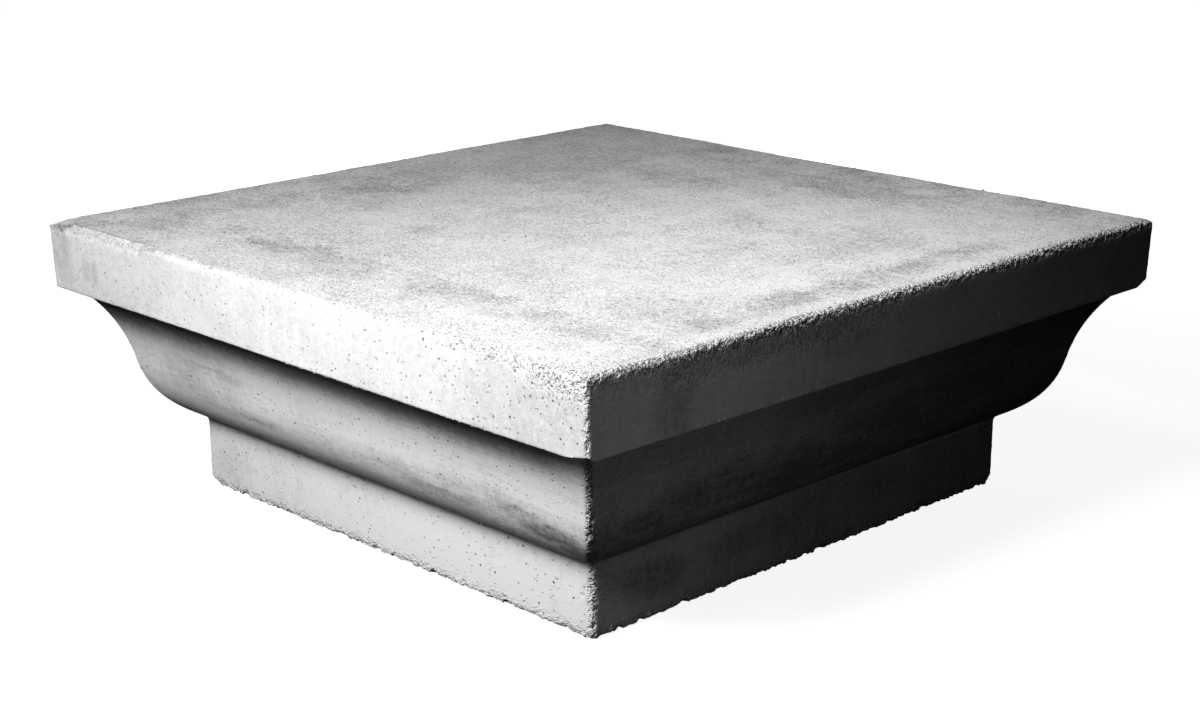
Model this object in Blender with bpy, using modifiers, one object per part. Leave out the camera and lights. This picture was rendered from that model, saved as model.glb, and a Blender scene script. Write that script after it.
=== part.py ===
"""Column base block in cast concrete: a square slab, a wave moulding under it and a low plinth.

It is cast in one piece, so it is one object. Metres, +Z up. The block stands on the plinth's
underside, and the origin is in the middle of that underside. The front is the -Y side.
"""
import math

import bmesh
import bpy
from mathutils import Matrix, Vector

# Overall shape, from the top down
slab_width = 0.560
slab_height = 0.050
slab_draft = 0.0017  # each face leans in by this much from the slab's top to its foot
moulding_height = 0.098
soffit_width = 0.010  # the flat strip under the slab, outside the moulding
plinth_width = 0.409
plinth_height = 0.052

# The moulding's wave, as shares of its own reach outwards and of its height
turn_out = 0.564  # where the hollow above turns into the round below
turn_down = 0.541
hollow_slope = 1.58  # reach lost for each share of height, at the top of the hollow
turn_slope = 0.30
round_slope = 4.1
hollow_top_hold = 0.141  # how long the curve keeps each of those slopes
hollow_foot_hold = 0.214
round_top_hold = 0.245
round_foot_hold = 0.073

# Worn edges: how far each one is rounded along both of its faces
top_edge_wear = 0.005
slab_foot_wear = 0.0018
soffit_fillet = 0.0012
moulding_foot_fillet = 0.004
plinth_foot_wear = 0.0025
corner_wear = 0.0022

# Knocked-off corners: length along X, along Y and up or down
slab_top_chip = (0.034, 0.030, 0.0045)
slab_foot_chip = (0.022, 0.008, 0.004)
slab_right_chip = (0.007, 0.014, 0.006)
plinth_left_chip = (0.012, 0.010, 0.007)
plinth_right_chip = (0.006, 0.008, 0.010)
chip_overcut = 1.6  # how much larger each cutter is than its chip, so that it comes out of the block

# The stretch of the front top edge that has broken away
broken_edge_start = 0.024  # from the left corner
broken_edge_length = 0.096
broken_edge_depth = 0.0062

# Bites out of the plinth's foot: radius, and where along each side as a share of its width
bite_radius = 0.006
bite_reach = 0.0035  # how far a bite reaches into the foot
front_bites = (-0.39, -0.11, -0.02, 0.13, 0.31)
right_bites = (-0.30, 0.02, 0.30)
left_bites = (-0.20, 0.34)
back_bites = (0.24,)

concrete_colour = (0.62, 0.61, 0.59, 1.0)
concrete_roughness = 0.9

total_height = plinth_height + moulding_height + slab_height
slab_half = slab_width / 2
slab_foot_half = slab_half - slab_draft
plinth_half = plinth_width / 2
slab_foot_z = total_height - slab_height
merge_distance = 0.0001  # well under the smallest step of the outline


def swept(start, start_way, end_way, end, steps):
    """Points on a smooth curve from start to end that leaves and arrives the given ways."""
    first, last = Vector(start), Vector(end)
    near = first + Vector(start_way)
    far = last - Vector(end_way)
    points = []
    for step in range(steps + 1):
        t = step / steps
        s = 1 - t
        points.append(s**3 * first + 3 * s * s * t * near + 3 * s * t * t * far + t**3 * last)
    return points


def moulding_outline():
    """The hollow and the round, from the soffit's inner edge down to the plinth."""
    reach = slab_foot_half - soffit_width - plinth_half

    def spot(out, down):
        return Vector((plinth_half + out * reach, slab_foot_z - down * moulding_height))

    def way(slope, hold):
        return Vector((-slope * hold * reach, -hold * moulding_height))

    hollow = swept(
        spot(1, 0), way(hollow_slope, hollow_top_hold), way(turn_slope, hollow_foot_hold),
        spot(turn_out, turn_down), 14,
    )
    rounded = swept(
        spot(turn_out, turn_down), way(turn_slope, round_top_hold), way(round_slope, round_foot_hold),
        spot(0, 1), 14,
    )
    return hollow, rounded


def along(points, reach):
    """The place that lies reach away from the first of some points, and the points after it."""
    left = reach
    for number, (here, there) in enumerate(zip(points, points[1:])):
        length = (there - here).length
        if length > left:
            return here.lerp(there, left / length), points[number + 1:]
        left -= length
    raise ValueError("an edge is worn back further than its own face")


def worn(before, after, reach, steps):
    """Joins two runs that meet at a corner by a curve that starts and ends reach away from it."""
    corner = after[0]
    start, kept_before = along(before[::-1], reach)
    end, kept_after = along(after, reach)
    curve = []
    for step in range(steps + 1):
        t = step / steps
        curve.append((1 - t) ** 2 * start + 2 * (1 - t) * t * corner + t * t * end)
    return kept_before[::-1] + curve + kept_after


def block_outline():
    """Half of the block's section as (distance from the middle, height), top to bottom."""
    hollow, rounded = moulding_outline()
    top = [Vector((0, total_height)), Vector((slab_half, total_height))]
    slab_face = [Vector((slab_half, total_height)), Vector((slab_foot_half, slab_foot_z))]
    soffit = [Vector((slab_foot_half, slab_foot_z)), hollow[0]]
    plinth_face = [rounded[-1], Vector((plinth_half, 0))]
    underside = [Vector((plinth_half, 0)), Vector((0, 0))]

    outline = worn(top, slab_face, top_edge_wear, 6)
    outline = worn(outline, soffit, slab_foot_wear, 4)
    outline = worn(outline, hollow + rounded[1:], soffit_fillet, 2)
    outline = worn(outline, plinth_face, moulding_foot_fillet, 4)
    return worn(outline, underside, plinth_foot_wear, 4)


def make_collection(name):
    collection = bpy.data.collections.new(name)
    bpy.context.scene.collection.children.link(collection)
    return collection


def make_concrete():
    material = bpy.data.materials.new("cast_concrete")
    material.use_nodes = True
    shader = material.node_tree.nodes["Principled BSDF"]
    shader.inputs["Base Color"].default_value = concrete_colour
    shader.inputs["Roughness"].default_value = concrete_roughness
    shader.inputs["Metallic"].default_value = 0.0
    return material


def make_block(collection):
    """The outline on one corner's diagonal, turned in four steps: a square block with mitres."""
    outline = block_outline()
    corners = [(point.x, -point.x, point.y) for point in outline]
    half_section = bpy.data.meshes.new("half section")
    half_section.from_pydata(corners, [(i, i + 1) for i in range(len(corners) - 1)], [])
    turned = bpy.data.objects.new("turned section", half_section)
    collection.objects.link(turned)
    turn = turned.modifiers.new("four sides", "SCREW")
    turn.steps = 4
    turn.render_steps = 4
    turn.use_merge_vertices = True
    turn.merge_threshold = merge_distance
    turn.use_smooth_shade = False

    bpy.context.view_layer.update()
    sides = turned.evaluated_get(bpy.context.evaluated_depsgraph_get())
    mesh = bpy.data.meshes.new_from_object(sides)
    mesh.name = "column_base_block"
    bpy.data.objects.remove(turned, do_unlink=True)
    mark_corners(mesh)
    block = bpy.data.objects.new("column_base_block", mesh)
    collection.objects.link(block)

    wear = block.modifiers.new("worn corners", "BEVEL")
    wear.limit_method = "WEIGHT"
    wear.width = corner_wear
    wear.segments = 2
    return block


def mark_corners(mesh):
    """Marks the edges that run down the four corners, apart from where they cross a level face."""
    marks = mesh.attributes.new("bevel_weight_edge", "FLOAT", "EDGE")
    for edge, mark in zip(mesh.edges, marks.data):
        upper, lower = (mesh.vertices[index].co for index in edge.vertices)
        on_corner = upper.x * lower.x > 0 and upper.y * lower.y > 0
        mark.value = 1.0 if on_corner and abs(upper.z - lower.z) > merge_distance else 0.0


def make_cutter(name, shape, placing, collection):
    """A closed shape, set in its place, that is taken away from the block."""
    bmesh.ops.transform(shape, matrix=placing, verts=shape.verts)
    mesh = bpy.data.meshes.new(name)
    shape.to_mesh(mesh)
    shape.free()
    cutter = bpy.data.objects.new(name, mesh)
    cutter.hide_render = True
    cutter.display_type = "WIRE"
    collection.objects.link(cutter)


def cut_corner(name, corner, inwards, chip, collection):
    """Takes a corner off along the plane that meets its three edges at the chip's lengths."""
    ends = [corner + Vector((inwards[0] * chip[0], 0, 0)), corner + Vector((0, inwards[1] * chip[1], 0)),
            corner + Vector((0, 0, inwards[2] * chip[2]))]
    middle = (ends[0] + ends[1] + ends[2]) / 3
    shape = bmesh.new()
    for point in [corner] + ends:
        shape.verts.new((point - middle) * chip_overcut)
    bmesh.ops.convex_hull(shape, input=shape.verts)
    make_cutter(name, shape, Matrix.Translation(middle), collection)


def cut_front_edge(collection):
    """Shaves the front top edge off at 45 degrees where it has broken away."""
    size = 4 * broken_edge_depth
    middle_x = -slab_half + broken_edge_start + broken_edge_length / 2
    edge = Vector((middle_x, -slab_half, total_height))
    outwards = Vector((0, -1, 1)).normalized()
    middle = edge + outwards * (size / 2 - broken_edge_depth / 2**0.5)
    placing = Matrix.Translation(middle) @ Matrix.Rotation(math.radians(45), 4, "X")
    shape = bmesh.new()
    bmesh.ops.create_cube(shape, size=1)
    bmesh.ops.scale(shape, vec=(broken_edge_length, size, size), verts=shape.verts)
    make_cutter("broken_edge", shape, placing, collection)


def cut_bites(collection):
    """Round bites along the plinth's lower edge, one list for each side."""
    sides = {"front": ((0, -1, 0), front_bites), "right": ((1, 0, 0), right_bites),
             "left": ((-1, 0, 0), left_bites), "back": ((0, 1, 0), back_bites)}
    for side, (direction, shares) in sides.items():
        outwards = Vector(direction)
        sideways = Vector((-outwards.y, outwards.x, 0))
        shift = (outwards - Vector((0, 0, 1))).normalized() * (bite_radius - bite_reach)
        for number, share in enumerate(shares):
            foot = outwards * plinth_half + sideways * share * plinth_width
            shape = bmesh.new()
            bmesh.ops.create_icosphere(shape, subdivisions=2, radius=bite_radius)
            make_cutter(f"{side}_bite_{number + 1}", shape, Matrix.Translation(foot + shift), collection)


def main():
    for thing in list(bpy.data.objects):
        bpy.data.objects.remove(thing, do_unlink=True)

    parts = make_collection("column base block")
    chips = make_collection("chips and breaks")
    block = make_block(parts)
    block.data.materials.append(make_concrete())

    slab_left = Vector((-slab_half, -slab_half, total_height))
    slab_front = Vector((slab_foot_half, -slab_foot_half, slab_foot_z))
    slab_right = Vector((slab_foot_half, slab_foot_half, slab_foot_z))
    plinth_left = Vector((-plinth_half, -plinth_half, 0))
    plinth_right = Vector((plinth_half, plinth_half, 0))
    cut_corner("slab_top_chip", slab_left, (1, 1, -1), slab_top_chip, chips)
    cut_corner("slab_foot_chip", slab_front, (-1, 1, 1), slab_foot_chip, chips)
    cut_corner("slab_right_chip", slab_right, (-1, -1, 1), slab_right_chip, chips)
    cut_corner("plinth_left_chip", plinth_left, (1, 1, 1), plinth_left_chip, chips)
    cut_corner("plinth_right_chip", plinth_right, (-1, -1, 1), plinth_right_chip, chips)
    cut_front_edge(chips)
    cut_bites(chips)

    breaks = block.modifiers.new("chips and breaks", "BOOLEAN")
    breaks.operation = "DIFFERENCE"
    breaks.solver = "EXACT"
    breaks.operand_type = "COLLECTION"
    breaks.collection = chips


main()
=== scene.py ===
# %% [markdown]
# # A column base block in cast concrete
# A heavy square block, cast in one piece: a flat slab, a wave moulding under it and a low plinth.
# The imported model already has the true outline, so this script works on what a hand would feel:
# the worn arrises, the air holes, the trowelled top, and the grey concrete itself.

import math

import bmesh
import bpy
import numpy as np
from mathutils import Matrix, Vector
from mathutils.bvhtree import BVHTree


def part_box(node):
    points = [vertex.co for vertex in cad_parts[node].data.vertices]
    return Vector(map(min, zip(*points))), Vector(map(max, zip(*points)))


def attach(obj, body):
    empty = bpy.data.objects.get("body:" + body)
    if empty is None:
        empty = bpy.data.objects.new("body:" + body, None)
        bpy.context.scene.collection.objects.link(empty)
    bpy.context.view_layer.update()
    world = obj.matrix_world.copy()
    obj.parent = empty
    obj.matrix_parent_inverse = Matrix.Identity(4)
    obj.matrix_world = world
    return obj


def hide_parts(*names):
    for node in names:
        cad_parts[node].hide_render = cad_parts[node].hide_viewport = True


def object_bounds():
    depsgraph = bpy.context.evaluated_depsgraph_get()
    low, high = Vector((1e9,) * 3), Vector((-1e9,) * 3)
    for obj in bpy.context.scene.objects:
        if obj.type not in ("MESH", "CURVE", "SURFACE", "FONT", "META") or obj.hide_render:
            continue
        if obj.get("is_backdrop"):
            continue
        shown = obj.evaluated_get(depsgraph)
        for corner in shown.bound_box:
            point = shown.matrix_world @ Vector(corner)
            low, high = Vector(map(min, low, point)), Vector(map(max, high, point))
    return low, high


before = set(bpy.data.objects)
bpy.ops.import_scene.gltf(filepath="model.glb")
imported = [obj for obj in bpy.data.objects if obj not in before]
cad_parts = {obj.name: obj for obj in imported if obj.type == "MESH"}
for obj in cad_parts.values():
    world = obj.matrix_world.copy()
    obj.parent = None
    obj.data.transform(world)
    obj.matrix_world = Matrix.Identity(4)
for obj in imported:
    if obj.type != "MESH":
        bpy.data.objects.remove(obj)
cad_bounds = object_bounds()
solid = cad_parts["column_base_block"]
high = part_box("column_base_block")[1]
top = high.z
slab_half = high.x
print(f"the packed block is {2 * slab_half * 1000:.0f} mm square and {top * 1000:.0f} mm high")

# %% [markdown]
# ## Sizes taken from the block
# The script may not read the block's own source, but its mesh tells the rest. Everything below the
# slab is narrower, so the lowest corner that is nearly as far out as the slab gives the slab's foot,
# and the widest corner near the ground gives the plinth.

# %% Measure the block
mm = 0.001
slab_lean = 3 * mm  # the slab's faces lean in by less than this
low_on_plinth = 25 * mm
plinth_tolerance = 1 * mm

corners = np.array([vertex.co for vertex in solid.data.vertices])
reach = np.abs(corners[:, :2]).max(axis=1)
slab_foot = corners[reach > slab_half - slab_lean, 2].min()
plinth_half = reach[corners[:, 2] < low_on_plinth].max()
on_plinth_face = np.abs(reach - plinth_half) < plinth_tolerance
moulding_foot = corners[on_plinth_face, 2].max()
print(f"slab foot at {slab_foot / mm:.1f} mm, plinth {2 * plinth_half / mm:.1f} mm wide, "
      f"moulding foot at {moulding_foot / mm:.1f} mm")

# %% [markdown]
# ## One way to write node trees
# A tree built from raw calls is hard to read. Here one small class wraps a node's output, and
# arithmetic on it adds the Math nodes, so that a mask reads like a formula. The same class serves
# the geometry and the material, which lets both of them share the functions that say where the
# block is worn.

# %% A tree in plain formulas
class Value:
    """What comes out of a node. Arithmetic on it adds Math nodes to the same tree."""

    def __init__(self, tree, output):
        self.tree = tree
        self.output = output

    def __add__(self, other):
        return self.tree.math("ADD", self, other)

    def __sub__(self, other):
        return self.tree.math("SUBTRACT", self, other)

    def __rsub__(self, other):
        return self.tree.math("SUBTRACT", other, self)

    def __mul__(self, other):
        return self.tree.math("MULTIPLY", self, other)

    def __truediv__(self, other):
        return self.tree.math("DIVIDE", self, other)

    def __pow__(self, other):
        return self.tree.math("POWER", self, other)

    __radd__ = __add__
    __rmul__ = __mul__


def open_socket(sockets, name):
    """The socket of that name that the node's settings leave in use."""
    return next(socket for socket in sockets if socket.name == name and socket.enabled)


class Tree:
    """Adds nodes to one tree, of a material or of geometry."""

    def __init__(self, nodes_in):
        self.nodes = nodes_in.nodes
        self.links = nodes_in.links

    def add(self, kind, settings=None, sockets=None, out=None):
        """Adds a node: its settings first, then the values or links of its sockets."""
        node = self.nodes.new(kind)
        for name, value in (settings or {}).items():
            setattr(node, name, value)
        for name, value in (sockets or {}).items():
            socket = node.inputs[name] if isinstance(name, int) else open_socket(node.inputs, name)
            if isinstance(value, Value):
                self.links.new(value.output, socket)
            else:
                socket.default_value = value
        if not node.outputs:
            return node
        output = open_socket(node.outputs, out) if out else next(o for o in node.outputs if o.enabled)
        return Value(self, output)

    def math(self, operation, *values):
        return self.add("ShaderNodeMath", {"operation": operation}, dict(enumerate(values)))

    def highest(self, *values):
        """The largest of some values, place by place."""
        found = values[0]
        for value in values[1:]:
            found = self.math("MAXIMUM", found, value)
        return found

    def clamp(self, value):
        return self.math("MINIMUM", self.highest(value, 0.0), 1.0)

    def split(self, vector):
        """The three parts of a vector."""
        first = self.add("ShaderNodeSeparateXYZ", None, {"Vector": vector}, "X")
        parts = first.output.node.outputs
        return first, Value(self, parts["Y"]), Value(self, parts["Z"])

    def join(self, x, y, z):
        return self.add("ShaderNodeCombineXYZ", None, {"X": x, "Y": y, "Z": z})

    def between(self, value, start, end):
        """Rises smoothly from 0 to 1 as the value goes from start to end, or falls if end is less."""
        if end < start:
            return 1 - self.between(value, end, start)
        return self.add("ShaderNodeMapRange", {"interpolation_type": "SMOOTHSTEP"},
                        {"Value": value, "From Min": start, "From Max": end})

    def noise(self, place, size, seed=0.0, detail=2.0, roughness=0.5, stretch=(1, 1, 1)):
        """Cloudy noise from about 0 to 1, with features of that size in metres."""
        moved = self.add("ShaderNodeVectorMath", {"operation": "MULTIPLY_ADD"},
                         {0: place, 1: [1 / s for s in stretch], 2: (seed, seed * 0.7, seed * 1.3)})
        return self.add("ShaderNodeTexNoise", {"noise_dimensions": "3D"},
                        {"Vector": moved, "Scale": 1 / size, "Detail": detail, "Roughness": roughness},
                        "Fac")


print("tree helpers ready")

# %% [markdown]
# ## A skin fine enough to carve
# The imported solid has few, large faces, and a chip or an air hole needs small ones. Subdividing
# everything alike would spend most of the triangles on flat ground. So the solid's section is read
# through a whole side, swept round the square in even rows and columns, and then only the edges
# that are longer than their place asks for are halved: fine at the arrises and round each hole,
# coarse between them. Last, the skin is laid onto the solid, which gives it the real chips.

# %% Read the block's section
square_size = 5.6 * mm  # at most, between two rows or two columns
section_at = 10 * mm  # through the left side, clear of its bites
same_point = 0.01 * mm
same_plane = math.radians(0.1)


def read_section():
    """The outline of one side as (distance from the middle, height), from the top's edge to the foot."""
    shape = bmesh.new()
    shape.from_mesh(solid.data)
    bmesh.ops.remove_doubles(shape, verts=shape.verts, dist=same_point)
    bmesh.ops.dissolve_limit(shape, angle_limit=same_plane, verts=shape.verts, edges=shape.edges)
    cut = bmesh.ops.bisect_plane(shape, geom=[*shape.verts, *shape.edges, *shape.faces],
                                 dist=0.1 * same_point, plane_co=(0, section_at, 0), plane_no=(0, 1, 0))
    met = {(round(-vert.co.x, 6), round(vert.co.z, 6)) for vert in cut["geom_cut"]
           if isinstance(vert, bmesh.types.BMVert) and vert.co.x < 0}
    shape.free()
    return sorted(met, key=lambda spot: (-spot[1], -spot[0]))


def evenly(outline, spacing):
    """The same outline with points added where two are further apart than the spacing."""
    spaced = [outline[0]]
    for here, there in zip(outline, outline[1:]):
        count = max(1, math.ceil(math.dist(here, there) / spacing))
        for step in range(1, count + 1):
            share = step / count
            spaced.append((here[0] + (there[0] - here[0]) * share, here[1] + (there[1] - here[1]) * share))
    return spaced


section = read_section()
rows = evenly(section, square_size)
print(f"the section has {len(section)} corners and {len(rows)} rows after spacing")

# %% Sweep it round the square
columns = round(2 * slab_half / square_size)
foot_insets = (8 * mm, 18 * mm)  # two more rows on the underside, next to its edge
foot_rows = [(plinth_half - inset, 0.0) for inset in foot_insets]


def ring(out, height):
    """Points round a square of that half width, anticlockwise from the left front corner."""
    shares = [2 * number / columns - 1 for number in range(columns)]
    front = [(share * out, -out, height) for share in shares]
    right = [(out, share * out, height) for share in shares]
    back = [(-share * out, out, height) for share in shares]
    left = [(-out, -share * out, height) for share in shares]
    return front + right + back + left


def swept_skin():
    """The whole surface as points and triangles: rows of squares down the sides, a level top and foot."""
    rings = rows + foot_rows
    points = [point for out, height in rings for point in ring(out, height)] + [(0.0, 0.0, 0.0)]
    around = 4 * columns
    triangles = []
    for row in range(len(rings) - 1):
        for column in range(around):
            here, beside = row * around + column, row * around + (column + 1) % around
            triangles += [(here, here + around, beside), (beside, here + around, beside + around)]
    last = (len(rings) - 1) * around
    for column in range(around):
        triangles.append((last + column, len(points) - 1, last + (column + 1) % around))

    first = len(points)
    across = np.linspace(-rows[0][0], rows[0][0], columns + 1)
    points += [(x, y, top) for y in across for x in across]
    for row in range(columns):
        for column in range(columns):
            here = first + row * (columns + 1) + column
            above = here + columns + 1
            triangles += [(here, here + 1, above), (here + 1, above + 1, above)]

    places, same = np.unique(np.round(points, 7), axis=0, return_inverse=True)
    return places, same.ravel()[np.array(triangles)]


coarse_points, coarse_triangles = swept_skin()
print(f"the swept skin has {len(coarse_triangles)} triangles before any is halved")

# %% The size that suits each place
arris_size = 1.6 * mm
hidden_arris_size = 2.4 * mm  # on the back and the left, which the photograph doesn't show
arris_band = 5 * mm
arris_growth = 0.6  # how fast the size grows away from an arris
hole_size = 0.7 * mm
hole_growth = 0.8
shown_margin = 12 * mm  # how far round the hidden corners the fine size goes on
underside_margin = 5 * mm
level_skin = 0.5 * mm  # this near the top or the ground, a point is on a level face
far_away = 1.0  # further than anything on the block


def arris_distance(points):
    """How far each point is from the nearest arris of the block, in metres."""
    out = np.abs(points[:, :2]).max(axis=1)
    side = np.abs(points[:, :2]).min(axis=1)
    height = points[:, 2]
    slab_top = np.hypot(out - slab_half, height - top)
    slab_bottom = np.hypot(out - slab_half, height - slab_foot)
    plinth_bottom = np.hypot(out - plinth_half, height)
    level = (height > top - level_skin) | (height < level_skin)
    mitre = np.where(level, far_away, out - side)
    return np.minimum.reduce([slab_top, slab_bottom, plinth_bottom, mitre])


def hole_distance(points, holes):
    """How far each point is from the rim of the nearest hole, for holes as (place, radius)."""
    nearest = np.full(len(points), far_away)
    order = np.argsort(points[:, 0])
    along_x = points[order, 0]
    for place, radius in holes:
        first, last = np.searchsorted(along_x, (place[0] - square_size, place[0] + square_size))
        near = order[first:last]
        away = np.linalg.norm(points[near] - place, axis=1) - radius
        nearest[near] = np.minimum(nearest[near], away)
    return nearest


def wanted_size(points, holes):
    """The longest edge that suits each place."""
    shown = np.minimum(points[:, 0], -points[:, 1]) > -slab_half + shown_margin
    fine = np.where(shown, arris_size, hidden_arris_size)
    size = fine + arris_growth * np.clip(arris_distance(points) - arris_band, 0, None)
    size = np.minimum(size, hole_size + hole_growth * np.clip(hole_distance(points, holes), 0, None))
    out = np.abs(points[:, :2]).max(axis=1)
    underneath = (points[:, 2] < level_skin) & (out < plinth_half - underside_margin)
    return np.where(underneath, far_away, np.minimum(size, square_size))


print(f"edges of {arris_size / mm} mm at the arrises, {hole_size / mm} mm round the holes")

# %% Halve what is too long for its place
halvings = 4
too_long = 1.45  # an edge this many times the wanted size is halved


def halve_long_edges(points, triangles, holes):
    """Puts a point in the middle of each long edge and cuts the triangles beside it, a few times."""
    for _ in range(halvings):
        sides = np.sort(triangles[:, [[0, 1], [1, 2], [2, 0]]], axis=2).reshape(-1, 2)
        key, edge_of = np.unique(sides[:, 0] * len(points) + sides[:, 1], return_inverse=True)
        edges = np.stack([key // len(points), key % len(points)], axis=1)
        middles = points[edges].mean(axis=1)
        length = np.linalg.norm(points[edges[:, 0]] - points[edges[:, 1]], axis=1)
        long = length > too_long * wanted_size(middles, holes)
        number = np.where(long, len(points) + np.cumsum(long) - 1, -1)
        points = np.concatenate([points, middles[long]])
        halved = number[edge_of.ravel()].reshape(-1, 3)
        count = (halved >= 0).sum(axis=1)
        pieces = [triangles[count == 0]]

        # Turn each triangle so that its first side is halved and, of two, the first two are
        turn = np.where(count == 1, np.argmax(halved >= 0, axis=1), (np.argmax(halved < 0, axis=1) + 1) % 3)
        turned = (np.arange(3) + turn[:, None]) % 3
        corner = np.take_along_axis(triangles, turned, axis=1)
        middle = np.take_along_axis(halved, turned, axis=1)
        a, b, c = corner.T
        ab, bc, ca = middle.T
        for halves, parts in ((1, ((a, ab, c), (ab, b, c))),
                              (2, ((ab, b, bc), (a, ab, bc), (a, bc, c))),
                              (3, ((a, ab, ca), (ab, b, bc), (ca, bc, c), (ab, bc, ca)))):
            chosen = count == halves
            pieces += [np.stack([part[chosen] for part in three], axis=1) for three in parts]
        triangles = np.concatenate(pieces)
    return points, triangles


print(f"an edge can be halved {halvings} times")


# %% Lay the skin on the solid
def add_object(name, data):
    """A new object in the scene, at the origin."""
    added = bpy.data.objects.new(name, data)
    bpy.context.scene.collection.objects.link(added)
    return added


def laid_on_solid(points, triangles, name):
    """The skin as a mesh, each point moved to the nearest place on the solid, chips and all."""
    mesh = bpy.data.meshes.new(name)
    mesh.from_pydata(points.tolist(), [], triangles.tolist())
    loose = add_object(name, mesh)
    wrap = loose.modifiers.new("lay on the solid", "SHRINKWRAP")
    wrap.wrap_method = "NEAREST_SURFACEPOINT"
    wrap.target = solid
    return made_plain(loose, name)


def made_plain(source, name):
    """What an object's modifiers make of it, as a mesh object of that name. The source is deleted."""
    bpy.context.view_layer.update()
    mesh = bpy.data.meshes.new_from_object(source.evaluated_get(bpy.context.evaluated_depsgraph_get()))
    bpy.data.objects.remove(source, do_unlink=True)
    mesh.name = name
    return add_object(name, mesh)


concrete = bpy.data.materials.new("cast_concrete")
coarse = laid_on_solid(coarse_points, coarse_triangles, "coarse skin")
print(f"the coarse skin has {len(coarse.data.vertices)} points, all of them on the solid")

# %% [markdown]
# ## Air holes
# Concrete that is poured against a mould keeps small bubbles on its faces. They crowd near the front
# corner and along the slab's edges, and are rare elsewhere. Typing in hundreds of places would be
# dull and would look it, so Geometry Nodes scatters far too many points and keeps each one with the
# chance that its place gives. The few large holes that the eye goes to are listed one by one.

# %% Where the bubbles crowd
def bubble_chance(tree, place):
    """The share of scattered points that stay, from 0 to 1, by place on the block."""
    x, y, z = tree.split(place)
    clouds = tree.between(tree.noise(place, 45 * mm, seed=4.1), 0.42, 0.66)
    front_face = tree.between(y, -slab_half + 4 * mm, -slab_half + 1 * mm) * tree.between(z, slab_foot, top)
    front_corner = tree.between(x, 40 * mm, 230 * mm) * tree.between(y, -150 * mm, -215 * mm)
    slab_rim = tree.between(z, top - 30 * mm, top - 5 * mm)
    at_top = tree.between(z, top - 1.5 * mm, top - 0.5 * mm)
    front_band = at_top * tree.between(y, -175 * mm, -195 * mm) * tree.between(y, -240 * mm, -215 * mm)
    foot = tree.between(z, 16 * mm, 5 * mm)
    chance = clouds * 0.14 + front_corner * (0.25 + slab_rim * 0.5) + front_face * clouds * 0.2
    return chance + front_band * clouds * 0.5 + foot * 0.3


print("a bubble's chance depends on its place")


# %% What every geometry tree needs
def geometry_tree(name, sizes):
    """A geometry tree with named inputs: its node group, its helper and its inputs as values."""
    group = bpy.data.node_groups.new(name, "GeometryNodeTree")
    for label, kind in (("Geometry", "NodeSocketGeometry"), *sizes.items()):
        group.interface.new_socket(name=label, in_out="INPUT", socket_type=kind)
    group.interface.new_socket(name="Geometry", in_out="OUTPUT", socket_type="NodeSocketGeometry")
    tree = Tree(group)
    start = group.nodes.new("NodeGroupInput")
    inputs = {socket.name: Value(tree, socket) for socket in start.outputs if socket.name}
    return group, tree, inputs


def close_tree(tree, geometry, material):
    """Ends a geometry tree: instances made real, then the material."""
    real = tree.add("GeometryNodeRealizeInstances", None, {"Geometry": geometry})
    coated = tree.add("GeometryNodeSetMaterial", None, {"Geometry": real, "Material": material})
    tree.links.new(coated.output, tree.nodes.new("NodeGroupOutput").inputs["Geometry"])


def with_nodes(source, group, sizes):
    """Puts a geometry tree on an object, with its inputs set by their identifiers."""
    modifier = source.modifiers.new(group.name, "NODES")
    modifier.node_group = group
    for item in group.interface.items_tree:
        if item.in_out == "INPUT" and item.name in sizes:
            modifier[item.identifier] = sizes[item.name]


print("geometry tree helpers ready")


# %% Scatter them
def scatter_tree(material):
    """Points scattered over a surface and thinned by place, each with a radius of its own."""
    group, tree, given = geometry_tree("scatter bubbles", {
        "Spots per square metre": "NodeSocketFloat", "Smallest radius": "NodeSocketFloat",
        "Largest radius": "NodeSocketFloat", "Seed": "NodeSocketInt"})
    spots = tree.add("GeometryNodeDistributePointsOnFaces", None, {
        "Mesh": given["Geometry"], "Density": given["Spots per square metre"], "Seed": given["Seed"]})
    place = tree.add("GeometryNodeInputPosition")
    luck = tree.add("FunctionNodeRandomValue", {"data_type": "FLOAT"}, {"Seed": 11})
    underneath = tree.math("LESS_THAN", tree.split(place)[2], level_skin)
    lost = tree.math("GREATER_THAN", luck + underneath, bubble_chance(tree, place))
    kept = tree.add("GeometryNodeDeleteGeometry", {"domain": "POINT"}, {"Geometry": spots, "Selection": lost})
    growth = tree.add("FunctionNodeRandomValue", {"data_type": "FLOAT"}, {"Seed": 12}) ** 3
    radius = given["Smallest radius"] + growth * (given["Largest radius"] - given["Smallest radius"])
    sized = tree.add("GeometryNodeStoreNamedAttribute", {"data_type": "FLOAT", "domain": "POINT"},
                     {"Geometry": kept, "Name": "radius_of_bubble", "Value": radius})
    close_tree(tree, tree.add("GeometryNodePointsToVertices", None, {"Points": sized}), material)
    return group


with_nodes(coarse, scatter_tree(concrete), {
    "Spots per square metre": 3600.0, "Smallest radius": 0.4 * mm, "Largest radius": 0.9 * mm, "Seed": 5})
scattered = made_plain(coarse, "scattered bubbles")
radii = np.empty(len(scattered.data.vertices))
scattered.data.attributes["radius_of_bubble"].data.foreach_get("value", radii)
places = np.array([vertex.co for vertex in scattered.data.vertices])
bpy.data.objects.remove(scattered, do_unlink=True)
print(f"{len(places)} bubbles kept, the widest {2 * radii.max() / mm:.1f} mm")
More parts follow.
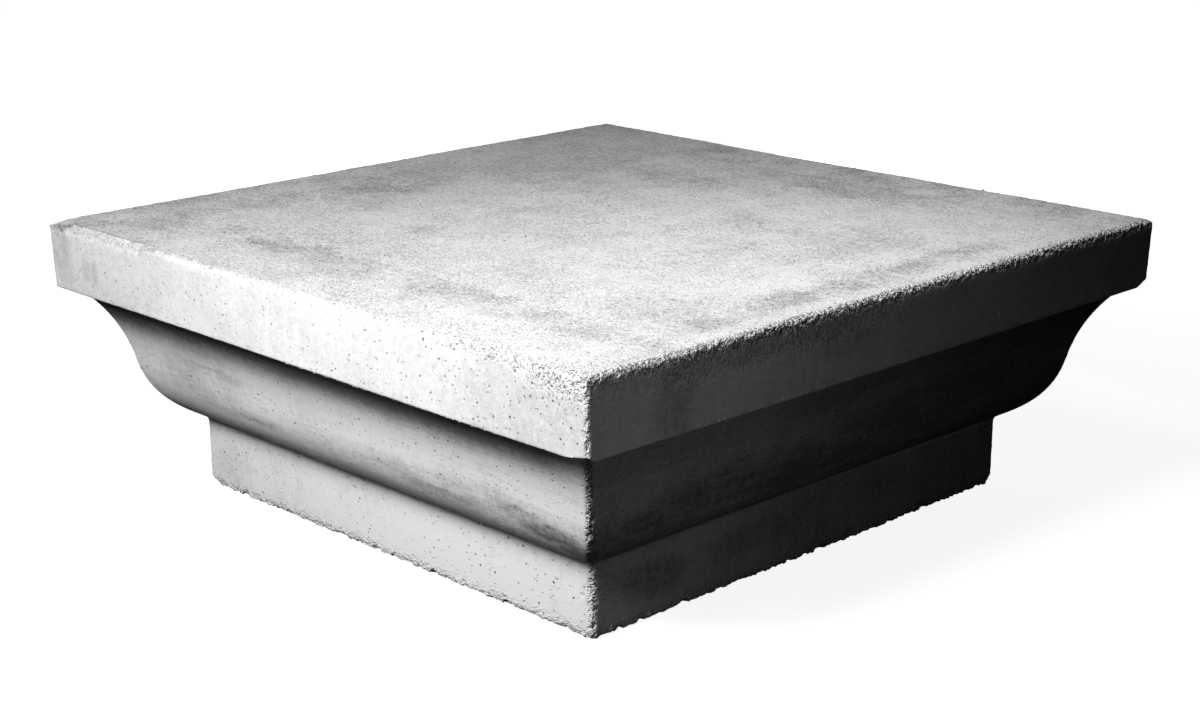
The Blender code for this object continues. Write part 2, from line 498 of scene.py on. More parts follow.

# %% [markdown]
# The larger holes are told by the side they are on, how far along it they lie and how deep below
# the top. A ray from outside finds the exact spot on the solid.

# %% Set the large holes one by one
large_holes = [  # side, along and down in mm, radius in mm
    ("front", -262, 6, 1.6), ("front", -246, 5, 1.0), ("front", -45, 198, 2.4), ("front", -160, 196, 1.3),
    ("front", -10, 195, 1.2), ("front", 12, 196, 1.0), ("front", -228, 36, 0.6), ("front", -183, 34, 0.6),
    ("front", -138, 43, 0.7), ("front", 96, 45, 0.7), ("front", 128, 47, 0.7), ("front", 222, 8, 1.2),
    ("front", 236, 12, 1.0), ("front", 229, 16, 0.8), ("front", 250, 9, 1.2), ("front", 244, 19, 0.8),
    ("front", 190, 112, 0.7), ("front", 172, 168, 0.9), ("front", 150, 182, 0.7), ("front", 118, 160, 0.7),
    ("right", 95, 35, 1.2), ("right", 166, 33, 0.9), ("right", -44, 34, 0.8), ("right", 243, 15, 0.8),
    ("right", 250, 19, 0.9), ("right", 238, 18, 0.7), ("right", -84, 114, 1.0), ("right", -210, 12, 0.9),
    ("right", 40, 193, 1.3), ("right", 118, 194, 1.4), ("right", -120, 192, 1.1), ("right", -190, 170, 0.8),
    ("left", 120, 22, 1.1), ("left", -60, 160, 1.0), ("left", -170, 38, 0.8), ("left", 30, 190, 1.2),
    ("back", -90, 30, 1.0), ("back", 140, 170, 0.9), ("back", 40, 110, 0.8), ("back", -190, 14, 1.0),
]
outward = {"front": Vector((0, -1, 0)), "right": Vector((1, 0, 0)),
           "back": Vector((0, 1, 0)), "left": Vector((-1, 0, 0))}
solid_tree = BVHTree.FromPolygons([corner.co for corner in solid.data.vertices],
                                  [face.vertices for face in solid.data.polygons])


def on_side(side, along, down):
    """The spot on the solid at a distance along a side, from left to right, and below the top."""
    away = outward[side]
    start = Vector((-away.y, away.x, 0)) * along + away + Vector((0, 0, top - down))
    return solid_tree.ray_cast(start, -away)[0]


set_by_hand = [on_side(side, along * mm, down * mm) for side, along, down, _ in large_holes]
places = np.concatenate([places, set_by_hand])
radii = np.concatenate([radii, [radius * mm for *_, radius in large_holes]])
print(f"{len(places)} air holes in all, {len(large_holes)} of them set by hand")

# %% Keep them as points for the carving
bubble_mesh = bpy.data.meshes.new("bubble centres")
bubble_mesh.from_pydata(places.tolist(), [], [])
bubble_mesh.attributes.new("radius_of_bubble", "FLOAT", "POINT").data.foreach_set("value", radii)
bubbles = add_object("bubble centres", bubble_mesh)
print(f"the widest hole is {2 * radii.max() / mm:.1f} mm across")

# %% Make the fine skin
points, triangles = halve_long_edges(coarse_points, coarse_triangles, list(zip(places, radii)))
block = laid_on_solid(points, triangles, "column_base_block_weathered")
print(f"the fine skin has {len(block.data.polygons)} triangles")

# %% [markdown]
# ## Wear that is really there
# The broken arrises, the ragged foot and the sunk margins of the top catch the light and show in the
# outline, so they are moved points and not a picture of a bump. Everything goes inwards from the
# cast surface, as wear does, so the block never grows past its true size. The colour changes in the
# same places, so the material calls the same functions.

# %% Distances on a square block
def half_width_and_side(tree, place):
    """How far out a place is, how far along its side from the middle, and its height."""
    x, y, z = tree.split(place)
    wide, deep = tree.math("ABSOLUTE", x), tree.math("ABSOLUTE", y)
    return tree.highest(wide, deep), tree.math("MINIMUM", wide, deep), z


def near_level_arris(tree, place, edge_out, edge_height, width):
    """1 on a level arris, told by its half width and height, and fading to 0 at that distance."""
    out, _, height = half_width_and_side(tree, place)
    return tree.between(((out - edge_out) ** 2 + (height - edge_height) ** 2) ** 0.5, width, 0)


def near_corner(tree, place, width):
    """1 on the upright arrises and fading to 0 at that distance from them."""
    out, side, height = half_width_and_side(tree, place)
    below_top = tree.between(height, top - 1 * mm, top - 4 * mm)
    return tree.between(out - side, width, 0) * tree.between(height, 0, 1 * mm) * below_top


def on_top(tree, place):
    """1 on the level top and 0 on the sides."""
    return tree.between(tree.split(place)[2], top - 2.5 * mm, top - 0.8 * mm)


print("arrises and the top can be told by place")


# %% Where the sand shows
def crumbled(tree, place):
    """1 where the skin has gone and the sand shows: the front corner, the right top edge and the foot."""
    out, side, height = half_width_and_side(tree, place)
    x, y, _ = tree.split(place)
    uneven = (tree.noise(place, 9 * mm, seed=31.0, detail=1) - 0.5) * 9 * mm
    from_corner = out - side
    from_top = top - height + uneven
    to_front = tree.between(x - y, 0.2, 0.35)
    below_slab = tree.between(height, slab_foot + 1 * mm, slab_foot - 3 * mm)

    arris = tree.between(from_corner + uneven * 0.7, 4.5 * mm, 1.5 * mm) * below_slab
    arris = arris * tree.between(height, -3 * mm, 1 * mm)
    slab_arris = tree.between(from_corner + uneven * 0.5, 3 * mm, 1 * mm) * (1 - below_slab) * 0.6
    corner = (arris + slab_arris) * to_front * tree.between(height, top - 0.5 * mm, top - 3 * mm)
    cap = tree.between(x - y, 0.49, 0.55) * tree.between(from_top, 26 * mm, 4 * mm) * 0.5

    rim = tree.between(from_top, 8 * mm, 3 * mm) * tree.between(out, slab_half - 7 * mm, slab_half - 3 * mm)
    right_rim = tree.between(x, slab_half - 9 * mm, slab_half - 4 * mm) * 0.9
    front_rim = tree.between(x, 90 * mm, 200 * mm) * 0.6
    left_rim = tree.between(x, -130 * mm, -180 * mm) * 0.2
    rim = rim * (right_rim + front_rim + left_rim + 0.1)
    foot = tree.between(height + uneven * 0.8, 12 * mm, 0) * 0.75
    return tree.clamp(tree.highest(corner, cap, rim, foot))


print("loose sand can be told by place")


# %% The trowel's strips
def trowel_marks(tree, place):
    """The sunk strips that the trowel left round the top, from 0 on the high ground to 1 in them."""
    x, y, _ = tree.split(place)
    x = x + (tree.noise(place, 34 * mm, seed=2.0) - 0.5) * 12 * mm
    y = y + (tree.noise(place, 30 * mm, seed=7.0) - 0.5) * 12 * mm
    back_strip = tree.between(y, 219 * mm, 225 * mm) * tree.between(x, -160 * mm, -120 * mm)
    gutter = tree.between(x, 229 * mm, 237 * mm) * tree.between(x, 264 * mm, 257 * mm)
    gutter = gutter * tree.between(y, 185 * mm, 150 * mm) * tree.between(y, -190 * mm, -150 * mm)
    left_strip = tree.between(x, -164 * mm, -172 * mm) * tree.between(y, -5 * mm, -25 * mm)
    outer_strip = tree.between(x, -229 * mm, -236 * mm) * tree.between(y, -120 * mm, -145 * mm)
    front_strip = tree.between(y, -188 * mm, -196 * mm) * tree.between(y, -229 * mm, -216 * mm)
    strips = back_strip + gutter + left_strip * 0.7 + outer_strip * 0.5 + front_strip * 0.8
    return tree.math("MINIMUM", strips, 1.0) * on_top(tree, place)


print("the trowel left five strips round the top")


# %% [markdown]
# ## Carving the skin
# The real block has slow waves in its faces, the trowel's strips, loose sand, broken edges and air
# holes. Each could have a modifier of its own, but then a deep one would carve what a shallow one had
# already moved. So one Geometry Nodes tree adds up their depths and moves each point once. The depths
# are its inputs, and the underside stays flat to stand on.

# %% How deep the wear goes
def wear_depth(tree, place, given):
    """The depth in metres of the waves, the strips, the loose sand and the bites."""
    out, _, height = half_width_and_side(tree, place)
    x, y, _ = tree.split(place)
    wave = tree.noise(place, 95 * mm, seed=1.0, detail=1) + tree.noise(place, 24 * mm, seed=3.0) * 0.25
    wave = tree.between(wave, 0.35, 1.0) * given["Wave depth"]
    sunk = trowel_marks(tree, place) * given["Trowel depth"]

    grain = tree.between(tree.noise(place, 3.4 * mm, seed=5.0, detail=1), 0.34, 0.66)
    crumbs = tree.between(tree.noise(place, 8 * mm, seed=6.0, detail=2, roughness=0.6), 0.5, 0.72)
    to_front = tree.between(x - y, 0.2, 0.35)
    top_edge = near_level_arris(tree, place, slab_half, top, 5 * mm)
    slab_edge = near_level_arris(tree, place, slab_half, slab_foot, 3 * mm)
    corner = near_corner(tree, place, 3 * mm)
    grit = (top_edge * 0.3 + slab_edge * 0.25 + corner * 0.3 + crumbled(tree, place)) * grain
    grit = grit * given["Grit depth"]
    bites = top_edge * 0.12 + slab_edge * 0.1 + corner * (to_front * 0.35 + 0.1)
    ragged = tree.between(height, 5 * mm, 0.5 * mm)
    foot = ragged * (grain * 0.35 + crumbs) * given["Foot depth"]

    rim_of_foot = tree.between(out, plinth_half - 6 * mm, plinth_half - 3 * mm)
    standing = tree.highest(tree.between(height, 0.05 * mm, 1.2 * mm), rim_of_foot)
    depth = wave + sunk + grit + bites * crumbs * given["Bite depth"] + foot
    return depth * standing


print("five kinds of wear add up")


# %% The bowls of the air holes
def nearest_bowl(tree, place, bubbles):
    """1 in the middle of the nearest air hole and 0 outside it, and the radius of that hole."""
    centres = tree.add("GeometryNodeObjectInfo", None, {"Object": bubbles}, "Geometry")
    nearest = tree.add("GeometryNodeSampleNearest", {"domain": "POINT"}, {"Geometry": centres})
    centre = tree.add("GeometryNodeSampleIndex", {"data_type": "FLOAT_VECTOR"},
                      {"Geometry": centres, "Value": place, "Index": nearest})
    radius = tree.add("GeometryNodeInputNamedAttribute", {"data_type": "FLOAT"}, {"Name": "radius_of_bubble"})
    radius = tree.add("GeometryNodeSampleIndex", {"data_type": "FLOAT"},
                      {"Geometry": centres, "Value": radius, "Index": nearest})
    gap = tree.add("ShaderNodeVectorMath", {"operation": "DISTANCE"}, {0: place, 1: centre}, "Value")
    return tree.between(gap / radius, 1.15, 0.35), radius


print("each bowl is a little wider than its bubble")


# %% The tree that carves
def relief_tree(material):
    """Moves each point of the skin inwards by the depth of its wear, and never out of the cast shape."""
    group, tree, given = geometry_tree("weather the skin", {
        "Bubbles": "NodeSocketObject", "Wave depth": "NodeSocketFloat", "Grit depth": "NodeSocketFloat",
        "Bite depth": "NodeSocketFloat", "Foot depth": "NodeSocketFloat", "Trowel depth": "NodeSocketFloat",
        "Bubble depth": "NodeSocketFloat"})
    place = tree.add("GeometryNodeInputPosition")
    bowl, radius = nearest_bowl(tree, place, given["Bubbles"])
    depth = wear_depth(tree, place, given) + bowl * radius * given["Bubble depth"]
    marked = tree.add("GeometryNodeStoreNamedAttribute", {"data_type": "FLOAT", "domain": "POINT"},
                      {"Geometry": given["Geometry"], "Name": "bowl", "Value": bowl})

    normal = tree.add("GeometryNodeInputNormal")
    inwards = tree.add("ShaderNodeVectorMath", {"operation": "SCALE"}, {"Vector": normal, "Scale": 0 - depth})
    sunken = tree.add("ShaderNodeVectorMath", {"operation": "ADD"}, {0: place, 1: inwards})
    sunken = tree.add("ShaderNodeVectorMath", {"operation": "MINIMUM"},
                      {0: sunken, 1: (slab_half, slab_half, top)})
    sunken = tree.add("ShaderNodeVectorMath", {"operation": "MAXIMUM"},
                      {0: sunken, 1: (-slab_half, -slab_half, 0)})
    moved = tree.add("GeometryNodeSetPosition", None, {"Geometry": marked, "Position": sunken})
    smooth = tree.add("GeometryNodeSetShadeSmooth", None, {"Geometry": moved, "Shade Smooth": True})
    close_tree(tree, smooth, material)
    return group


with_nodes(block, relief_tree(concrete), {
    "Bubbles": bubbles, "Wave depth": 0.5 * mm, "Grit depth": 0.75 * mm, "Bite depth": 2.4 * mm,
    "Foot depth": 2.2 * mm, "Trowel depth": 0.8 * mm, "Bubble depth": 0.85})
block = made_plain(block, "column_base_block_weathered")
bpy.data.objects.remove(bubbles, do_unlink=True)
print(f"the weathered block has {len(block.data.polygons)} triangles")

# %% Put it in the solid's place
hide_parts("column_base_block")
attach(block, "root")
print(f"{block.name} stands for the packed solid")

# %% [markdown]
# ## The concrete itself
# Bare cast concrete is a pale grey paste round sand. It is cloudy where it dried unevenly, darker where
# the paste stayed wet, speckled by the sand, and pricked by pores that are too small to carve. A
# photograph of concrete could be laid on, but it would stretch on the moulding and repeat. Worked out
# from the place on the block, nothing slides, and a stain can be put where the real one is.

# %% Pores and stains
def pores(tree, place, cell, share, widest):
    """Small round pores in some of the cells, up to that radius: 1 in the middle and 0 outside."""
    near = tree.add("ShaderNodeTexVoronoi", None, {"Vector": place, "Scale": 1 / cell}, "Distance")
    colour = Value(tree, near.output.node.outputs["Color"])
    luck = tree.add("ShaderNodeSeparateColor", None, {"Color": colour}, "Red")
    width = tree.between(luck, 1 - share, 1.0) * (widest / cell)
    return tree.clamp((width - near) * (2 * cell / widest))


def stains_at(tree, along, height, marks, softness):
    """The darkest of some soft oval marks, given as along, height, half length, half height, darkness."""
    covers = []
    for mark_along, mark_height, half_length, half_height, darkness in marks:
        away = (((along - mark_along * mm) / (half_length * mm)) ** 2
                + ((height - mark_height * mm) / (half_height * mm)) ** 2) ** 0.5
        covers.append(tree.between(away, 1 + softness, 1 - softness) * darkness)
    return tree.highest(*covers)


print("pores and stains can be painted")

# %% Stains listed one by one
top_stains = [  # across, back, half width, half depth in mm, and how dark
    (-110, 70, 52, 34, 0.42), (90, 65, 40, 24, 0.3), (185, 80, 32, 40, 0.25), (145, 0, 40, 22, 0.2),
    (-60, 150, 80, 26, 0.45), (60, 205, 120, 22, 0.5), (-205, -10, 36, 90, 0.42), (-180, 120, 60, 70, 0.4),
    (-110, -202, 60, 14, 0.35), (10, -212, 60, 14, 0.08), (150, -205, 80, 16, 0.12), (244, -40, 16, 130, 0.4),
    (-165, -80, 22, 50, 0.3), (-60, -110, 16, 12, 0.2), (40, -60, 26, 18, 0.2), (205, -150, 40, 22, 0.35),
]
front_stains = [  # along, height, half length, half height in mm, and how dark
    (200, 77, 26, 7, 1.15), (222, 69, 18, 6.5, 1.15), (176, 85, 20, 5.5, 0.7), (102, 77, 34, 6, 0.35),
    (-100, 82, 26, 5, 0.4), (150, 88, 50, 9, 0.35),
    (-232, 172, 7, 9, 0.4), (-220, 170, 4, 8, 0.35), (-150, 100, 50, 22, 0.35), (60, 88, 60, 7, 0.25),
    (-265, 178, 12, 22, 0.35), (-170, 20, 22, 16, 0.25), (250, 178, 26, 8, 0.2), (150, 60, 70, 6, 0.12),
]
right_stains = [  # the same, for the right side
    (-150, 26, 26, 12, 0.5), (-110, 92, 70, 12, 0.4), (-40, 84, 60, 10, 0.35), (-212, 170, 16, 26, 0.35),
    (-60, 178, 24, 9, 0.3), (-190, 84, 22, 7, 0.35), (-60, 30, 40, 10, 0.3), (80, 100, 90, 16, 0.3),
]
print(f"{len(top_stains)} stains on the top, {len(front_stains)} in front, {len(right_stains)} on the right")

# %% Sand, clouds and drips
concrete.use_nodes = True
shader = Tree(concrete.node_tree)
place = shader.add("ShaderNodeTexCoord", None, None, "Object")
x, y, height = shader.split(place)
out, side, _ = half_width_and_side(shader, place)
run = shader.join(out, side, height)  # the same on all four sides, so that drips run down each of them

clouds = shader.noise(place, 120 * mm, seed=21.0, detail=3, roughness=0.6)
blotches = shader.noise(place, 30 * mm, seed=22.0, detail=3, roughness=0.65)
patches = shader.between(shader.noise(place, 38 * mm, seed=26.0, detail=2), 0.40, 0.66)
sand = shader.noise(place, 2.3 * mm, seed=23.0, detail=2, roughness=0.8)
grit = shader.noise(place, 5.5 * mm, seed=24.0, detail=2, roughness=0.7)
fine_sand = shader.noise(place, 1.1 * mm, seed=36.0, detail=1, roughness=0.6)
crumbs = shader.noise(place, 1.9 * mm, seed=33.0, detail=1, roughness=0.7)
crumb_grains = shader.between(crumbs, 0.40, 0.60)
dark_grains = shader.between(shader.noise(place, 1.5 * mm, seed=27.0, detail=0), 0.62, 0.70)
pale_grains = shader.between(shader.noise(place, 3.0 * mm, seed=28.0, detail=0), 0.72, 0.77)
drips = shader.noise(run, 8 * mm, seed=25.0, detail=2, stretch=(1, 1, 10))
scratches = shader.noise(run, 2.4 * mm, seed=29.0, detail=2, stretch=(1, 22, 1))
streaks = shader.between(shader.noise(run, 6 * mm, seed=35.0, detail=2, stretch=(1, 9, 1)), 0.46, 0.68)
fine_pores = pores(shader, place, 4.6 * mm, 0.5, 1.0 * mm)
small_pores = pores(shader, place, 2.5 * mm, 0.5, 0.7 * mm)
bowl = shader.add("ShaderNodeAttribute", {"attribute_name": "bowl"}, None, "Fac")
print(f"{len(concrete.node_tree.nodes)} nodes of sand, clouds, pores and drips")

# %% The faces of the block
level = on_top(shader, place)
on_sides = 1 - level
on_front = shader.between(y + out, 6 * mm, 1 * mm) * on_sides
on_right = shader.between(x - out, -6 * mm, -1 * mm) * on_sides
on_slab = shader.between(height, slab_foot - 1 * mm, slab_foot) * on_sides
on_moulding = shader.between(height, moulding_foot, moulding_foot + 3 * mm)
on_moulding = on_moulding * shader.between(height, slab_foot, slab_foot - 3 * mm)
low_round = shader.between(height, moulding_foot + 2 * mm, moulding_foot + 12 * mm)
low_round = low_round * shader.between(height, moulding_foot + 48 * mm, moulding_foot + 22 * mm)
low_front = on_front * shader.between(height, moulding_foot, moulding_foot - 5 * mm)
low_right = on_right * shader.between(height, moulding_foot, moulding_foot - 4 * mm)
to_front = shader.between(x - y, 0.1, 0.42)
print("each face can be painted alone")

# %% [markdown]
# In the photograph the moulding right under the slab is darker than the lights here would leave it.
# More and smaller lights could give that shade. Painting it in is simpler, though it then stays with
# the block when the light is moved. The stains come from the tables above.

# %% Shade and stains
under_slab = shader.between(height, slab_foot - 36 * mm, slab_foot - 13 * mm) * (0.2 + on_front * 0.8)
under_slab = under_slab * shader.between(height, slab_foot + 1 * mm, slab_foot - 9 * mm)
under_slab = under_slab * (0.35 + shader.between(x, 265 * mm, 205 * mm) * 0.65)

wander = (shader.noise(place, 28 * mm, seed=12.0, detail=3, roughness=0.7) - 0.5) * 70 * mm
weave = (shader.noise(place, 28 * mm, seed=13.0, detail=3, roughness=0.7) - 0.5) * 70 * mm
stains = stains_at(shader, x + wander, y + weave, top_stains, 0.6) * level
side_wander = wander * 0.2
side_height = height + weave * 0.08
side_stains = stains_at(shader, x + side_wander, side_height, front_stains, 0.5) * on_front
side_stains = side_stains + stains_at(shader, y + side_wander, side_height, right_stains, 0.5) * on_right
side_stains = side_stains * on_sides
print("the stains wander, so that no oval shows")

# %% Loose sand, cracks and crowded pores
loose_sand = crumbled(shader, place)
strips = trowel_marks(shader, place)
worn_edge = near_level_arris(shader, place, slab_half, top, 8 * mm) * shader.between(x, -100 * mm, -200 * mm)
sandy_face = shader.between(x, slab_half - 10 * mm, slab_half - 2 * mm) * on_sides
sandy_face = sandy_face * shader.between(height, top - 30 * mm, top - 8 * mm)
sandy_face = sandy_face * shader.between(y, 40 * mm, -90 * mm) * shader.between(y, -255 * mm, -195 * mm)
# painted highlight low on the right plinth, near the front corner
painted_foot_highlight = shader.between(y, -110 * mm, -190 * mm) * shader.between(height, 34 * mm, 6 * mm)

crack = shader.math("ABSOLUTE", y + (slab_half - 8 * mm) + wander * 0.05)
crack = shader.between(crack, 0.9 * mm, 0.2 * mm) * shader.between(x, -268 * mm, -262 * mm)
crack = crack * shader.between(x, -146 * mm, -156 * mm) * level

pricked = shader.between(x, 216 * mm, 262 * mm) * shader.between(height, top - 32 * mm, top - 8 * mm)
front_lip = level * shader.between(y, -slab_half + 18 * mm, -slab_half + 4 * mm)
pricked = pricked * on_front + front_lip * shader.between(x, -60 * mm, 120 * mm) * 0.7
bare = 1 - on_slab * on_front * shader.between(x, 190 * mm, 90 * mm) * 0.75
crowded = shader.between(shader.noise(place, 60 * mm, seed=34.0, detail=2), 0.42, 0.62) * on_sides
crowded = crowded * bare * (1 - on_right * 0.6)
front_of_top = level * shader.between(y, 60 * mm, -200 * mm)
print("edges, crack and pores are in place")

# %% [markdown]
# ## Adding up the darkness
# All marks and the painted shade and light meet in one number, 0 for the pale paste and 1 for the dark.
# Layers of mixed colours would do as well, but then each layer hides the one below. Added up, a dark grain
# in a stain is darker than either, as on the real block. First come the broad tones, face by face, many of
# them painted shade and painted light, and then the fine marks.

# %% Broad tones, painted shade and painted light
dark = 0.12 + level * 0.1 + (clouds - 0.5) * 0.5 + (blotches - 0.5) * (0.35 + level * 0.3)
dark += under_slab * 1.05
# painted light: the moulding lighter all round
dark -= on_moulding * 0.1
dark += worn_edge * (0.5 + fine_sand * 0.5)
# painted shade: the top darker towards the front, under the strongest light
dark += level * shader.between(y, -60 * mm, -250 * mm) * 0.08
dark -= level * shader.between(x, 40 * mm, 230 * mm) * 0.1
# painted light: the plinth's front face lighter
dark -= low_front * 0.16
# painted shade: the slab's faces darker, more so towards the right
dark += on_slab * (0.03 + shader.between(x, -40 * mm, slab_half) * 0.14)
# painted shade: the right side darker, its slab face and sandy band less so, and a painted highlight low on
# the plinth near the front
dark += on_right * (0.2 - on_slab * 0.26 - sandy_face * 0.3 - painted_foot_highlight * 0.45)
# painted shade: the right plinth darker towards the back
dark += low_right * shader.between(y, -170 * mm, 100 * mm) * 0.4
# painted shade: the right moulding darker, more so towards the back
dark += on_right * on_moulding * (0.34 + shader.between(y, -150 * mm, 250 * mm) * 0.4)
dark += low_round * (streaks * 0.1 + to_front * (grit - 0.3) * 0.6)
dark += crowded * 0.05
dark += side_stains * (0.3 + grit * 0.6 + streaks * on_moulding * 0.6)
dark += stains * (0.25 + grit * 0.5)
print(f"{len(concrete.node_tree.nodes)} nodes for the broad tones")

# %% Fine marks
dark += (drips - 0.5) * on_sides * (0.2 - on_moulding * 0.1 - on_slab * on_front * 0.08)
dark += (scratches - 0.5) * on_moulding * 0.3
dark += (sand - 0.5) * (0.5 + level * 0.6)
dark += (grit - 0.5) * (0.4 + level * 0.4)
dark += (fine_sand - 0.5) * level * 1.3
dark += (crumb_grains - 0.45) * (loose_sand * 0.9 + sandy_face * 0.8)
dark += dark_grains * (level * (patches * 0.35 + 0.2) + 0.08 + loose_sand * on_front * 0.5)
dark -= pale_grains * level * 0.2
dark += dark_grains * pricked * 0.7
# painted shade in the sunk trowel strips, in patches
dark += strips * patches * 0.22
dark += crack * 0.6
# painted shade: the pores and the carved bowls of the air holes darker inside
dark += fine_pores * (0.7 * bare + crowded - on_right * 0.3)
dark += small_pores * (0.3 + crowded * 1.2 + to_front * 0.6 + front_of_top * 0.8)
dark += bowl * 0.9
print(f"{len(concrete.node_tree.nodes)} nodes with the fine marks")

# %% Colour, roughness and bump
pale_paste = (0.74, 0.74, 0.735, 1)
dark_paste_and_shade = (0.2, 0.2, 0.2, 1)
bump_height = 0.45 * mm
# the dark end serves both the darker paste and the painted shade
tone = shader.add("ShaderNodeMix", {"data_type": "RGBA", "clamp_factor": True},
                  {"Factor": dark, "A": pale_paste, "B": dark_paste_and_shade}, "Result")
rough = 0.88 + (blotches - 0.5) * 0.12 + (sand - 0.5) * 0.1
rough_skin = level * 0.6 + sandy_face * 1.4
raised = (sand * 0.8 + grit * 1.1) * (0.4 + rough_skin) + scratches * on_moulding * 0.25
raised = raised - fine_pores * 1.6 - small_pores * 1.0 + (crumbs - 0.5) * (loose_sand * 8 + sandy_face * 10)
bump = shader.add("ShaderNodeBump", None, {"Strength": 1.0, "Distance": bump_height, "Height": raised})

finish = concrete.node_tree.nodes["Principled BSDF"]
for name, value in (("Base Color", tone), ("Roughness", rough), ("Normal", bump)):
    shader.links.new(value.output, finish.inputs[name])
finish.inputs["Specular IOR Level"].default_value = 0.25
print(f"the concrete has {len(concrete.node_tree.nodes)} nodes")

# %% [markdown]
# ## The floor
# The block stands on a plain pale floor that runs out of sight. A lit floor would have to be very
# bright to come out white, and would throw its light back under the moulding. So it glows by itself,
# a little less near the block as a painted shadow, still takes a soft shadow, and gives the block no light at
# all.

# %% Floor
floor_reach = 60.0
floor_grey = 0.35  # how much of the studio's light the floor sends back
# painted shadow: near the block the floor glows less
painted_shadow_glow = 0.9
painted_shadow_until = 0.35  # metres from the middle
full_glow = 1.0
full_from = 1.3

floor_mesh = bpy.data.meshes.new("floor")
floor_mesh.from_pydata([(-floor_reach, -floor_reach, 0), (floor_reach, -floor_reach, 0),
                        (floor_reach, floor_reach, 0), (-floor_reach, floor_reach, 0)], [], [(0, 1, 2, 3)])
floor = add_object("floor", floor_mesh)
floor.visible_diffuse = False
floor.visible_glossy = False

paper = bpy.data.materials.new("pale_floor")
paper.use_nodes = True
floor_shader = Tree(paper.node_tree)
floor_place = floor_shader.add("ShaderNodeTexCoord", None, None, "Object")
from_middle = floor_shader.add("ShaderNodeVectorMath", {"operation": "LENGTH"}, {0: floor_place}, "Value")
glow = floor_shader.add("ShaderNodeMix", {"data_type": "RGBA"}, {
    "Factor": floor_shader.between(from_middle, painted_shadow_until, full_from),
    "A": (painted_shadow_glow, painted_shadow_glow, painted_shadow_glow, 1), "B": (full_glow, full_glow, full_glow, 1)}, "Result")
sheet = paper.node_tree.nodes["Principled BSDF"]
sheet.inputs["Base Color"].default_value = (floor_grey, floor_grey, floor_grey, 1)
sheet.inputs["Roughness"].default_value = 1.0
sheet.inputs["Specular IOR Level"].default_value = 0.0
sheet.inputs["Emission Strength"].default_value = 1.0
floor_shader.links.new(glow.output, sheet.inputs["Emission Color"])
floor_mesh.materials.append(paper)
floor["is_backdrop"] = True
print(f"the floor reaches {floor_reach:.0f} m each way")

# %% White all round, and hardly any fill
fill = 0.001
world = bpy.data.worlds.new("studio")
bpy.context.scene.world = world
world.use_nodes = True
sky = Tree(world.node_tree)
seen = sky.add("ShaderNodeLightPath", None, None, "Is Camera Ray")
background = world.node_tree.nodes["Background"]
background.inputs["Color"].default_value = (1, 1, 1, 1)
sky.links.new((seen * 0.98 + fill).output, background.inputs["Strength"])
print(f"the camera sees white, and the block gets {fill} of it")

# %% [markdown]
# ## Lights
# In the photograph the front is bright, as if from one soft light, and the right side nearly black. A
# single light can be far and even or near and fading. Three lights in about one direction, each
# further off, give the fade that the photograph has from front to back, and a weak one near the floor
# fills the moulding. A small one hangs over the right half of the top, and a very weak one by the
# corner keeps the right side from going black. The last stands low behind the block, where it can't
# reach the faces that the camera sees.

# %% Studio lights
light_aim = Vector((0, 0, 0.12))
right_corner = Vector((slab_half, -0.16, 0.12))


def soft_light(name, azimuth, elevation, distance, size, power, aim=light_aim, spread=180):
    """A light of that width and height. Azimuth is the side it stands on, anticlockwise from +X."""
    turn, rise = math.radians(azimuth), math.radians(elevation)
    away = Vector((math.cos(turn) * math.cos(rise), math.sin(turn) * math.cos(rise), math.sin(rise)))
    data = bpy.data.lights.new(name, "AREA")
    data.shape = "RECTANGLE"
    data.size, data.size_y = size
    data.energy = power
    data.spread = math.radians(spread)
    lamp = add_object(name, data)
    lamp.location = aim + away * distance
    lamp.rotation_euler = away.to_track_quat("Z", "Y").to_euler()
    lamp.visible_camera = False


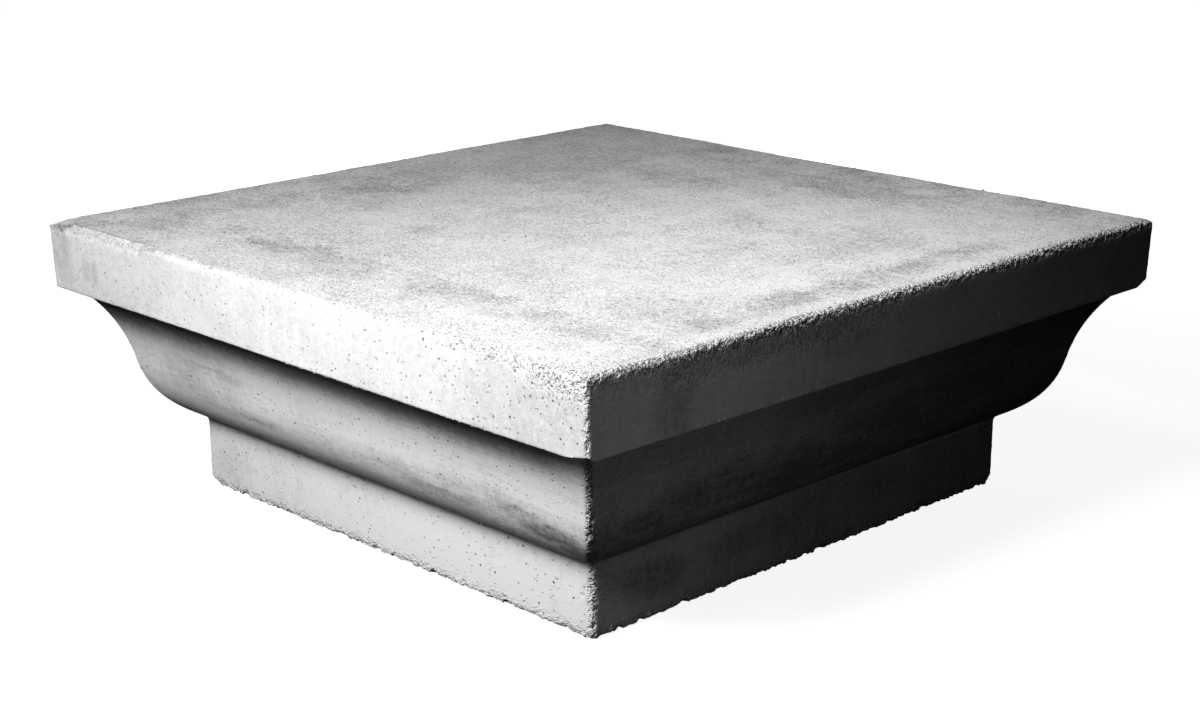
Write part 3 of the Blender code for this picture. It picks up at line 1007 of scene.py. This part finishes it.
studio_lights = [  # azimuth and elevation in degrees, distance and size in metres, power in watts
    ("near front light", -80, 32, 0.8, (0.25, 0.25), 3.1),
    ("middle front light", -80, 32, 1.15, (0.3, 0.3), 6.6),
    ("high front light", -80, 38, 1.6, (0.35, 0.35), 3.8),
    ("low front light", -85, 2, 0.75, (0.5, 0.5), 0.16),
    ("right overhead light", 0, 65, 0.53, (0.16, 0.16), 1.15),
    ("right corner light", -25, 14, 0.42, (0.12, 0.12), 0.055, right_corner, 120),
    ("low light behind", 135, -1, 1.3, (0.9, 0.14), 6),
]
for studio_light in studio_lights:
    soft_light(*studio_light)
print(f"{len(studio_lights)} lights")

# %% [markdown]
# ## Camera
# A camera can be nudged by eye until it looks right. Here the block's corners were matched to their
# places in the photograph instead, which gave the place, the three angles and the focal length
# below. The angles are turned into three directions, which are the camera's own axes.

# %% Camera
camera_place = Vector((1.0595, -1.0223, 0.5262))
camera_azimuth = math.radians(46.01)
camera_elevation = math.radians(16.34)
camera_roll = math.radians(-0.31)
focal_pixels = 2106.7  # in a picture 1200 pixels wide
picture_width = 1200

back = Vector((math.sin(camera_azimuth) * math.cos(camera_elevation),
               -math.cos(camera_azimuth) * math.cos(camera_elevation), math.sin(camera_elevation)))
level_right = Vector((math.cos(camera_azimuth), math.sin(camera_azimuth), 0))
level_up = back.cross(level_right)
right = math.cos(camera_roll) * level_right + math.sin(camera_roll) * level_up
up = math.cos(camera_roll) * level_up - math.sin(camera_roll) * level_right

eye = bpy.data.cameras.new("camera")
eye.sensor_width = 36
eye.lens = eye.sensor_width * focal_pixels / picture_width
eye.clip_start = 0.05
eye.clip_end = 200
camera = add_object("camera", eye)
camera.matrix_world = Matrix.Translation(camera_place) @ Matrix((right, up, back)).transposed().to_4x4()
bpy.context.scene.camera = camera
bpy.context.scene.view_settings.view_transform = "Standard"
print(f"a {eye.lens:.0f} mm lens, {camera_place.length:.2f} m from the middle of the block's foot")

# %% Finish
new_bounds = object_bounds()
for name, (lowest, highest) in (("cad", cad_bounds), ("visual", new_bounds)):
    print(name, [round(value / mm, 2) for value in (*lowest, *highest)])
